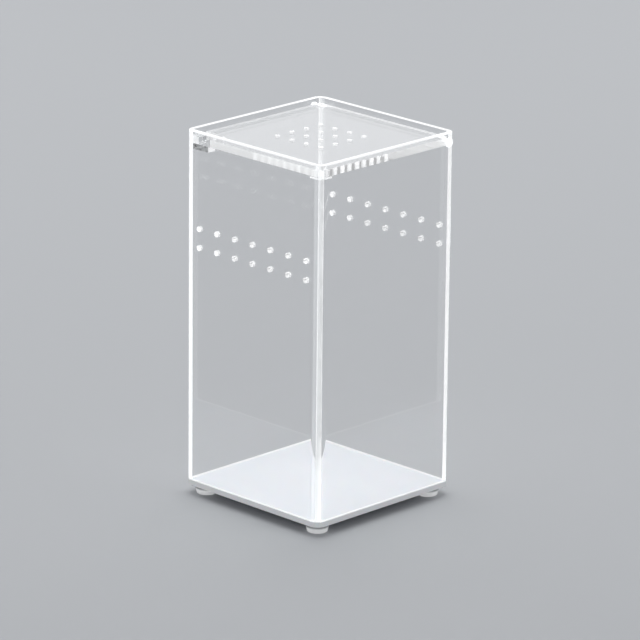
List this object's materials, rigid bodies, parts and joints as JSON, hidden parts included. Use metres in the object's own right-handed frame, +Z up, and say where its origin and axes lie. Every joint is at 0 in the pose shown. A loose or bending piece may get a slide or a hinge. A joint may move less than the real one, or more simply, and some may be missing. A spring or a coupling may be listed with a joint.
{
  "type": "acrylic terrarium",
  "caption": "Small upright clear acrylic terrarium with ventilated side walls and lid, white base plate, soft feet and a flip-up recessed lid on side pins.",
  "frame": {"origin": "middle of the footprint on the standing surface", "axes": "+Z up out of the lid, -Y the plain front wall, +X the hinge side, with vents in the left and right walls"},
  "size_m": [0.1, 0.1016, 0.2],
  "materials": {
    "clear_acrylic": "polished clear cast sheet",
    "white_acrylic": "opaque white gloss sheet",
    "clear_silicone": "clear soft satin",
    "adhesive": "clear double-sided adhesive"
  },
  "bodies": {
    "tub": {"base_plate": "white_acrylic", "left_wall": "clear_acrylic", "right_wall": "clear_acrylic", "front_wall": "clear_acrylic", "rear_wall": "clear_acrylic", "lid_rest_block": "clear_acrylic", "lid_stop_block": "clear_acrylic", "front_rest_pad": "clear_acrylic", "front_hinge_pin": "clear_acrylic", "rear_hinge_pin": "clear_acrylic", "front_left_foot": "clear_silicone", "front_right_foot": "clear_silicone", "rear_left_foot": "clear_silicone", "rear_right_foot": "clear_silicone", "front_left_adhesive_disc": "adhesive", "front_right_adhesive_disc": "adhesive", "rear_left_adhesive_disc": "adhesive", "rear_right_adhesive_disc": "adhesive"},
    "lid": {"lid_plate": "clear_acrylic"}
  },
  "joints": [
    {"name": "lid_hinge", "type": "hinge", "parent": "tub", "child": "lid", "pos_m": [0.044, 0, 0.1951], "axis": [0, 1, 0], "range_deg": [0, 100]}
  ]
}
